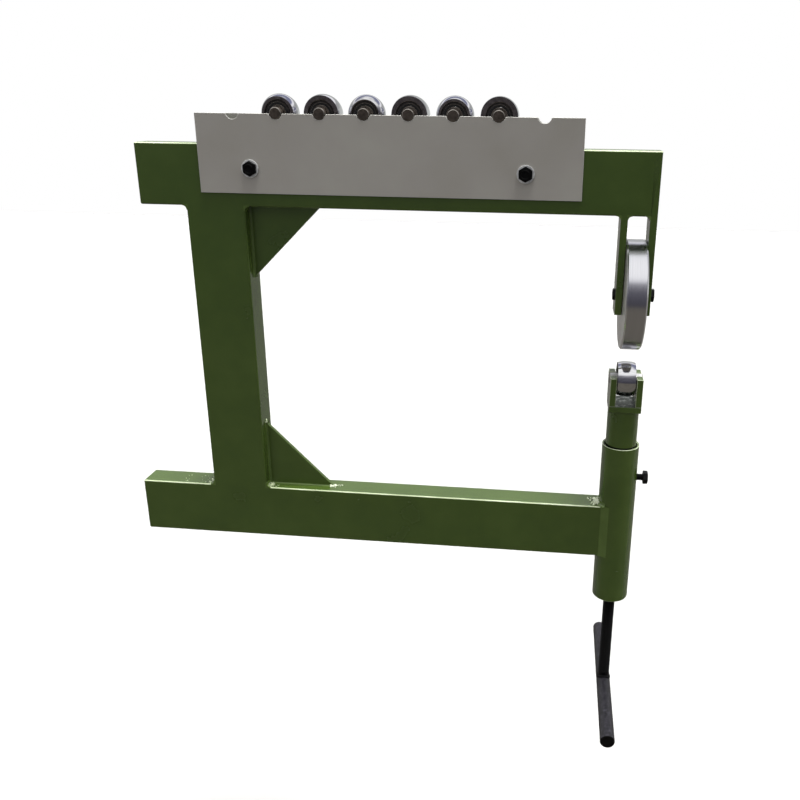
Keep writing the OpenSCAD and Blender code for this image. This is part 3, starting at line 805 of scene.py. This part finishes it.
def hexagon(across, low_z, high_z, flat=0.97):
    """A hexagon head or nut about Z. Its top is flat over a share of its width, then falls."""
    sides = 48
    bm = bmesh.new()
    bmesh.ops.create_cone(
        bm, cap_ends=True, segments=sides, radius1=1, radius2=1, depth=high_z - low_z
    )
    bmesh.ops.translate(bm, vec=(0, 0, (low_z + high_z) / 2), verts=bm.verts)
    cap = [f for f in bm.faces if all(abs(v.co.z - high_z) < 0.01 for v in f.verts)]
    bmesh.ops.inset_region(bm, faces=cap, thickness=0.02, use_even_offset=True)
    for vert in bm.verts:
        angle = math.atan2(vert.co.y, vert.co.x)
        reach = across / 2 / math.cos((angle + math.pi / 6) % (math.pi / 3) - math.pi / 6)
        rim = Vector((math.cos(angle), math.sin(angle)))
        inner = vert.co.xy.length < 0.99
        radius = across / 2 * flat if inner else reach
        vert.co.xy = rim * radius
        if not inner and vert.co.z > high_z - 0.01:
            vert.co.z -= (reach - across / 2 * flat) * math.tan(math.radians(30))
    return bm


STUD_D, STUD_PITCH = 12, 1.75
NUT_AF, NUT_H = 18, 3.6
WASHER_D, WASHER_T, WASHER_PLAY = 24, 2.16, 0.25
stud_low, stud_high = corners("rack_studs")
stud_z = (stud_low.z + stud_high.z) / 2
rack_half = corners("rack_rear_plate")[1].y
stud_xs = (stud_low.x + STUD_D / 2, stud_high.x - STUD_D / 2)

ZINC_DULL, ZINC = "#b0b1b1", "#dcddda"
# Bright zinc plating: silvery, with a faint crystal mottle and a soft shine
zinc_plate, tree, place, shader = start_material("bright_zinc_plate")
mottle = noise(tree, place, 0.003, 4.0)
link_surface(
    tree, shader, ramp(tree, mottle, [(0.3, ZINC_DULL), (0.6, ZINC)]),
    spread(tree, mottle, 0.28, 0.42), mottle, 0.02,
)
shader.inputs["Metallic"].default_value = 0.5

studs, nuts, washers = bmesh.new(), bmesh.new(), bmesh.new()
for x in stud_xs:
    rod = threaded(STUD_D, STUD_PITCH, 1, stud_low.y, stud_high.y)
    join(studs, lay(rod, (x, 0, stud_z), (0, 1, 0)))
    for side in (-1, 1):
        ring = turned(
            [
                (STUD_D / 2 + WASHER_PLAY, 0), (WASHER_D / 2, 0), (WASHER_D / 2, WASHER_T),
                (STUD_D / 2 + WASHER_PLAY, WASHER_T),
            ],
            steps=64, ring=True,
        )
        join(washers, lay(ring, (x, side * rack_half, stud_z), (0, side, 0)))
        nut = hexagon(NUT_AF, WASHER_T, WASHER_T + NUT_H, 0.88)
        join(nuts, lay(nut, (x, side * rack_half, stud_z), (0, side, 0)))
piece = make_piece("rack_stud_rods", studs, blacked_steel)
fit(piece, "frame", "rack_studs")
piece = make_piece("rack_stud_nuts", nuts, blacked_steel)
fit(piece, "frame", "rack_nuts")
piece = make_piece("rack_stud_washers", washers, zinc_plate, bevel=0.35)
fit(piece, "frame", "rack_washers")

# The upper wheel: a disc turned from steel bar, 6 in across and 28 mm wide. Its face is
# finely turned, so it is satin bright, and its edges have a 2 mm polished chamfer.
WHEEL_D, WHEEL_W, WHEEL_EDGE = 152.4, 28, 2
WHEEL_BORE_D = 30.04


def turned_steel(name, centre, axis, colours, gloss, line_mm, relief_mm=0.01):
    """Bright turned steel: lines round the axis, their colour, their gloss and their relief."""
    material, tree, place, shader = start_material(name)
    squeeze = [1.0 / 0.09] * 3
    squeeze[axis] = 1.0 / (line_mm * MM)
    centred = add(
        tree, "ShaderNodeVectorMath", {0: place, 1: tuple(-c for c in centre)}, operation="ADD"
    ).outputs[0]
    lines_at = add(tree, "ShaderNodeMapping", {"Vector": centred, "Scale": tuple(squeeze)})
    lines = noise(tree, lines_at.outputs[0], 1.0, 3.0)
    link_surface(
        tree, shader, ramp(tree, lines, list(zip(SHADE_STOPS, colours))),
        spread(tree, lines, *gloss), lines, relief_mm,
    )
    shader.inputs["Metallic"].default_value = 1.0
    return material


def faced_steel(name, colours, metallic, gloss):
    """Faced steel, mottled over a few millimetres between two colours. Some uses pass darker
    colours as painted shade, and some paler ones as a painted highlight.
    """
    material, tree, place, shader = start_material(name)
    mottle = noise(tree, place, 0.005, 4.0)
    link_surface(
        tree, shader, ramp(tree, mottle, list(zip((0.3, 0.7), colours))),
        spread(tree, mottle, *gloss), mottle, 0.03,
    )
    shader.inputs["Metallic"].default_value = metallic
    return material


# Turned mild steel: faint lines round the wheel, half a millimetre apart, satin bright
turned_wheel = turned_steel(
    "finely_turned_steel", wheel_centre * MM, 0, ("#cdcdd1", "#d1d1d5", "#d5d5d9"),
    (0.20, 0.23), 0.5, 0.003,
)
# Faced side of the wheel: greyer and mottled, with a wider shine
faced_wheel = faced_steel("faced_wheel_side", ("#b5b3af", "#d2d1cf"), 0.8, (0.28, 0.42))
# Polished edge of the wheel: the two chamfers are bright lines
polished_edge = faced_steel("polished_wheel_edge", ("#dedee0", "#eaeaec"), 1.0, (0.12, 0.18))
half_w, rim_r, bore_r = WHEEL_W / 2, WHEEL_D / 2, WHEEL_BORE_D / 2
bm = turned(
    [
        (bore_r, -half_w), (rim_r - WHEEL_EDGE, -half_w), (rim_r, -half_w + WHEEL_EDGE),
        (rim_r, half_w - WHEEL_EDGE), (rim_r - WHEEL_EDGE, half_w), (bore_r, half_w),
    ],
    steps=180, ring=True,
)
lay(bm, wheel_centre, (1, 0, 0))
for face in bm.faces:
    sideways = abs(face.normal.x)
    face.material_index = 1 if sideways > 0.95 else 2 if sideways > 0.3 else 0
wheel = make_piece("rolling_wheel", bm, turned_wheel, faced_wheel, polished_edge, bevel=0.3)
fit(wheel, "upper_wheel", "upper_wheel")

# The upper wheel's bearings, spacers, bolt and nut: bought parts. The rings are ground
# chrome steel behind black rubber seals.
# Ground bearing steel: grey and smooth, with a soft shine
ring_steel = turned_steel(
    "ground_bearing_steel", (0, 0, 0), 0, ("#8c8c8e", "#a5a5a7", "#bcbcbe"), (0.2, 0.3), 0.4
)
SEAL_DARK, SEAL = "#101011", "#1a1a1b"
# Nitrile rubber seal: black, matt, with a fine moulded grain
seal_rubber, tree, place, shader = start_material("nitrile_rubber")
grain = noise(tree, place, 0.001, 3.0)
link_surface(
    tree, shader, ramp(tree, grain, [(0.3, SEAL_DARK), (0.7, SEAL)]),
    spread(tree, grain, 0.55, 0.7), grain, 0.02,
)


def dress(node, material):
    """Gives a CAD node that stays its material."""
    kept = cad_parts[node]
    kept.data.materials.clear()
    kept.data.materials.append(material)


dress("upper_outer_races", ring_steel)
dress("upper_inner_races", ring_steel)
dress("upper_spacers", ring_steel)

HEAD_AF, HEAD_H = 17, 4.5
AXLE_NUT_AF, AXLE_NUT_H = 15, 3
bolt_low, bolt_high = corners("upper_axle_bolt")
shank_end = bolt_high.x - HEAD_H + 1
bm = turned([
    (0, bolt_low.x), (AXLE_BOLT_D / 2, bolt_low.x), (AXLE_BOLT_D / 2, shank_end), (0, shank_end),
])
join(bm, hexagon(HEAD_AF, bolt_high.x - HEAD_H, bolt_high.x))
lay(bm, (0, 0, wheel_centre.z), (1, 0, 0))
piece = make_piece("axle_bolt", bm, blacked_steel, bevel=0.3)
fit(piece, "frame", "upper_axle_bolt")
nut_seat = corners("upper_axle_nut")[1].x
bm = lay(hexagon(AXLE_NUT_AF, 0, AXLE_NUT_H), (nut_seat, 0, wheel_centre.z), (-1, 0, 0))
piece = make_piece("axle_nut", bm, blacked_steel, bevel=0.3)
fit(piece, "frame", "upper_axle_nut")

# The post: a 45 mm tube, painted with the frame down to a little above the sleeve and blacked
# below, where it slides. Inside its foot is the plug for the screw's tip.
low, high = corners("post")
POST_WALL, PAINT_ABOVE = 3.25, 1.2
paint_end = sleeve_high.z + PAINT_ABOVE
post_r = (high.x - low.x) / 2
bm = turned(
    [
        (post_r - POST_WALL, low.z), (post_r, low.z), (post_r, paint_end), (post_r, high.z),
        (post_r - POST_WALL, high.z),
    ],
    ring=True,
)
lay(bm, (sleeve_centre.x, 0, 0), (0, 0, 1))
for face in bm.faces:
    face.material_index = face.calc_center_median().z < paint_end
post = make_piece("lift_post", bm, green_enamel, blacked_steel, bevel=0.4)
fit(post, "post", "post")
dress("lift_plug", blacked_steel)

# The yoke: two slotted cheeks welded on a base plate and ground flush, painted outside. Its
# floor is bare ground steel, scratched by the anvils that are dropped in.
low, high = corners("yoke_base")
YOKE_CORNER_R = 2.0
GROUND_DARK, GROUND, GROUND_LIGHT = "#2b312b", "#4b524a", "#b4b8b1"
# Ground mild steel with traces of paint: dull green-grey, with crossed scratches 3 mm apart
scratched_floor, tree, place, shader = start_material("scratched_mild_steel")
worn = noise(tree, place, 0.007, 6.0)
scratches = add(
    tree, "ShaderNodeTexVoronoi", {"Vector": place, "Scale": 1 / 0.003},
    feature="DISTANCE_TO_EDGE",
).outputs["Distance"]
link_surface(
    tree, shader,
    ramp(tree, worn, [(0.4, GROUND_DARK), (0.55, GROUND), (0.66, GROUND_LIGHT)]),
    spread(tree, worn, 0.22, 0.45), scratches, 0.25,
)
shader.inputs["Metallic"].default_value = 0.9
bm = block(low, high)
round_off(bm, edges_along(bm, 2), YOKE_CORNER_R, 3)
for face in bm.faces:
    face.material_index = 1 if face.normal.z > 0.9 else 0
piece = make_piece("yoke_floor", bm, green_enamel, scratched_floor, bevel=0.7)
fit(piece, "post", "yoke_base")
# Pale enamel on the breaks of the yoke cheeks' edges: a painted highlight, dry in its shine
yoke_edge_highlight = sprayed_enamel(
    "green_enamel_painted_yoke_edge_highlight", ("#6b7454", "#8b9279", "#a3a895"), 0.3, 0.2, 0.05
)
for node, name in (
    ("yoke_inner_cheek", "yoke_side_inner"), ("yoke_outer_cheek", "yoke_side_outer")
):
    piece = make_piece(name, cad_copy(node), green_enamel, yoke_edge_highlight, bevel=0.8, edge=1)
    fit(piece, "post", node)

# The lift screw and its handle bar: an 18 mm two-start screw, 4 mm a turn, blacked, and a
# 22 mm bar of black mill-scale steel welded across its foot.
SCREW_PITCH, SCREW_STARTS = 2, 2
screw_top = corners("lift_screw")[1].z
bar_low, bar_high = corners("handle_bar")
bar_z = (bar_low.z + bar_high.z) / 2
bar_r = (bar_high.z - bar_low.z) / 2
TIP_LEN, TIP_D = 9, 10.8
PLAIN_LEN = 8
shoulder = screw_top - TIP_LEN
plain_top = bar_z + bar_r + PLAIN_LEN
bm = threaded(SCREW_D, SCREW_PITCH, SCREW_STARTS, plain_top, shoulder)
join(bm, turned([
    (0, bar_z), (SCREW_D / 2, bar_z), (SCREW_D / 2, plain_top), (0, plain_top + 0.5),
]))
join(bm, turned([
    (0, shoulder - 1), (TIP_D / 2, shoulder - 1), (TIP_D / 2, screw_top - 0.5),
    (TIP_D / 2 - 0.5, screw_top), (0, screw_top),
]))
lay(bm, (sleeve_centre.x, 0, 0), (0, 0, 1))
piece = make_piece("lift_screw_rod", bm, blacked_steel)
fit(piece, "lift_screw", "lift_screw")
SCALE_DARK, SCALE, SCALE_LIGHT = "#09090a", "#171619", "#2c2b30"
# Hot-rolled mill scale: blue-black, speckled over a few millimetres, with a dull waxy sheen
mill_scale, tree, place, shader = start_material("hot_rolled_mill_scale")
patches = noise(tree, place, 0.004, 6.0)
link_surface(
    tree, shader,
    ramp(tree, patches, [(0.3, SCALE_DARK), (0.52, SCALE), (0.75, SCALE_LIGHT)]),
    spread(tree, patches, 0.36, 0.55), patches, 0.15,
)
shader.inputs["Specular IOR Level"].default_value = 0.35
bar_half = (bar_high.y - bar_low.y) / 2
bm = turned([(0, -bar_half), (bar_r, -bar_half), (bar_r, bar_half), (0, bar_half)])
lay(bm, (sleeve_centre.x, 0, bar_z), (0, 1, 0))
for face in bm.faces:
    face.material_index = abs(face.normal.y) > 0.9
piece = make_piece("handle_rod", bm, mill_scale, blacked_steel, bevel=1.0)
fit(piece, "lift_screw", "handle_bar")
# The weld that holds them runs round the screw's foot, over the bar's back
BAR_BEAD, RING_STEPS = 2.6, 60
bm = bmesh.new()
ring = []
for i in range(RING_STEPS + 1):
    angle = math.tau * i / RING_STEPS
    out = Vector((math.cos(angle), math.sin(angle), 0))
    spot = out * SCREW_D / 2 + Z * (bar_z + math.sqrt(bar_r**2 - (out.x * SCREW_D / 2) ** 2))
    lean = (out - Z * 0.6 * out.x**2).normalized()
    turn = Matrix((lean, Z, out.cross(Z))).transposed()
    ring.append(Matrix.Translation(Vector((sleeve_centre.x, 0, 0)) + spot) @ turn.to_4x4())
bead(bm, ring, BAR_BEAD, rng, outline=FULL, swell=0.08)
bmesh.ops.recalc_face_normals(bm, faces=bm.faces)
piece = make_piece("handle_weld", bm, blacked_steel)
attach(piece, "lift_screw")

# The lock bolt: an M10 set screw with a hexagon head, blacked, in the sleeve's outer side.
# Its tip presses on the post and holds it at its height.
LOCK_D, LOCK_PITCH, LOCK_AF, LOCK_HEAD_H = 10, 1.5, 17, 7
lock_low, lock_high = corners("lock_bolt")
lock_z = (lock_low.z + lock_high.z) / 2
bm = threaded(LOCK_D, LOCK_PITCH, 1, lock_low.x, lock_high.x - LOCK_HEAD_H + 0.5)
join(bm, hexagon(LOCK_AF, lock_high.x - LOCK_HEAD_H, lock_high.x))
lay(bm, (0, 0, lock_z), (1, 0, 0))
piece = make_piece("lock_screw", bm, blacked_steel)
fit(piece, "lock_bolt", "lock_bolt")

# The anvils, one in the yoke and six in the rack: each is a roller turned from steel bar,
# 2 in across and 1 in wide with a crown of its own, on two bearings and a plain axle.
ANVIL_D, ANVIL_W, ANVIL_BORE_D, AXLE_D = 50.8, 25.4, 35.04, 15.9
# How far each roller's edge drops below its crown, as a share of the land round its bore
CROWN_SHARES = (0.27, 0.54, 0.27, 0.95, 0.21, 0.63, 0.12)
FACE_CHAMFER, CROWN_STEPS = 0.6, 8
BEARING_OD, BEARING_W, BEARING_GAP = 35, 11, 0.4
RACE_SHARE = 0.33
# Polished roller steel: almost a mirror, with faint lines round the roller 0.6 mm apart
polished = turned_steel(
    "polished_roller_steel", (0, 0, 0), 1, ("#cbcbcd", "#d3d3d5", "#dadadc"), (0.1, 0.15), 0.6
)
# The rollers' side faces: dark grey, half metallic
faced_roller = faced_steel("dark_roller_side_steel", ("#3b3637", "#565152"), 0.5, (0.3, 0.45))
# The rollers' turned corners: bright rings
bright_corner = faced_steel("bright_roller_corner", ("#b5b4b5", "#cfcfd0"), 1.0, (0.15, 0.25))
# Axle steel with a film of old oil: grey with a little brown, and soft in its shine
axle_steel = faced_steel("oiled_axle_steel", ("#3b352f", "#5a524a"), 0.6, (0.28, 0.4))
# The working anvil's axle: steel made pale and less metallic, a painted highlight so it shows as
# a bright line
axle_highlight = faced_steel("working_axle_painted_highlight", ("#b9b9b7", "#dadad8"), 0.35, (0.25, 0.38))
# The axles' chamfers: a lighter steel, a painted highlight round the axle ends
axle_chamfer_highlight = faced_steel("axle_chamfer_painted_highlight", ("#6d6861", "#9a958e"), 0.8, (0.2, 0.3))
# Outer rings of the bearings: near black with a brown tinge, painted shade over their faces
shaded_race = faced_steel("bearing_race_painted_shade", ("#1b1918", "#2a2625"), 0.3, (0.3, 0.45))
# Inner rings: brown-grey with a soft shine, darker than bare ring steel as painted shade
shaded_inner_ring = faced_steel("bearing_ring_painted_shade", ("#5c554d", "#8a837a"), 0.8, (0.22, 0.34))
SECTION, RACE_OUT_R = (BEARING_OD - AXLE_D) / 2, BEARING_OD / 2
RACE_IN_R = RACE_OUT_R - RACE_SHARE * SECTION
RING_IN_R, RING_OUT_R = AXLE_D / 2 + 0.02, AXLE_D / 2 + RACE_SHARE * SECTION
SEAL_RIM_R, RACE_LIP_R = RACE_IN_R - 0.05, RACE_IN_R + 0.55
half_bearing = BEARING_W / 2
# Half sections: from the middle of the outside out to one side, mirrored for the other
RACE = [
    (RACE_OUT_R, 0), (RACE_OUT_R, half_bearing - 0.5), (RACE_OUT_R - 0.5, half_bearing),
    (RACE_IN_R + 0.5, half_bearing), (RACE_IN_R, half_bearing - 0.4),
    (RING_OUT_R + 0.3, half_bearing - 0.6), (RING_OUT_R + 0.3, half_bearing - 1.6),
    (RACE_IN_R, half_bearing - 1.6),
]
RING = [(RING_OUT_R, 0), (RING_OUT_R, half_bearing), (RING_IN_R, half_bearing)]


def mirrored(profile):
    """The other half of a section whose first point is on the middle plane."""
    return [(radius, -z) for radius, z in profile[:0:-1]]


def roller_profile(share):
    """The half section of a roller whose edge drops by a share of the land round its bore."""
    land = (ANVIL_D - ANVIL_BORE_D) / 2 - 2 * FACE_CHAMFER
    drop = share * land
    crown_r = ((ANVIL_W / 2) ** 2 + drop**2) / (2 * drop)
    half, bore = ANVIL_W / 2, ANVIL_BORE_D / 2
    points = [(bore, -half + FACE_CHAMFER), (bore + FACE_CHAMFER, -half)]
    for i in range(2 * CROWN_STEPS + 1):
        z = (-1 + i / CROWN_STEPS) * (half - 0.2)
        points.append((ANVIL_D / 2 - crown_r + math.sqrt(crown_r**2 - z**2), z))
    edge = points[-1][0]
    points.insert(2, (edge - 0.5, -half))
    points += [(edge - 0.5, half), (bore + FACE_CHAMFER, half), (bore, half - FACE_CHAMFER)]
    return points


anvils = [("anvil_{}", "working_anvil", "working_axle", 0)]
anvils += [(f"spare_{{}}_{k}", f"spare_anvil_{k}", f"spare_axle_{k}", k) for k in range(1, 7)]
for nodes, roller_body, axle_body, k in anvils:
    low, high = corners(nodes.format("axle"))
    centre, axis = (low + high) / 2, (X if k == 0 else Y)
    tag = "working" if k == 0 else f"spare_{k}"
    bm = lay(turned(roller_profile(CROWN_SHARES[k]), ring=True), centre, axis)
    for face in bm.faces:
        sideways = abs(face.normal.dot(axis))
        face.material_index = 1 if sideways > 0.95 else 2 if sideways > 0.6 else 0
    piece = make_piece(f"roller_{tag}", bm, polished, faced_roller, bright_corner)
    fit(piece, roller_body, nodes.format("roller"))
    races, rings = bmesh.new(), bmesh.new()
    for side in (-1, 1):
        middle = side * (BEARING_W + BEARING_GAP) / 2
        for bm, profile in ((races, RACE), (rings, RING)):
            points = [(radius, middle + z) for radius, z in profile + mirrored(profile)]
            join(bm, turned(points, steps=72, ring=True))
    lay(races, centre, axis)
    # The outer rings' faces take the painted shade, their lips the bright ring steel, the seals
    # rubber.
    for face in races.faces:
        out = face.calc_center_median() - centre
        radius = (out - axis * out.dot(axis)).length
        face.material_index = 1 if radius < SEAL_RIM_R else 2 if radius < RACE_LIP_R else 0
    piece = make_piece(f"races_{tag}", races, shaded_race, seal_rubber, ring_steel)
    fit(piece, roller_body, nodes.format("outer_races"))
    lay(rings, centre, axis)
    piece = make_piece(f"rings_{tag}", rings, shaded_inner_ring, bevel=0.35)
    fit(piece, axle_body, nodes.format("inner_races"))
    half = (high - low).dot(axis) / 2
    bm = turned([(0, -half), (AXLE_D / 2, -half), (AXLE_D / 2, half), (0, half)], steps=64)
    lay(bm, centre, axis)
    for face in bm.faces:
        face.material_index = 2 if abs(face.normal.dot(axis)) < 0.1 else 0
    round_side = axle_highlight if k == 0 else axle_steel
    piece = make_piece(
        f"axle_{tag}", bm, axle_steel, axle_chamfer_highlight, round_side, bevel=1.0, edge=1
    )
    fit(piece, axle_body, nodes.format("axle"))

low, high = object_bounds()
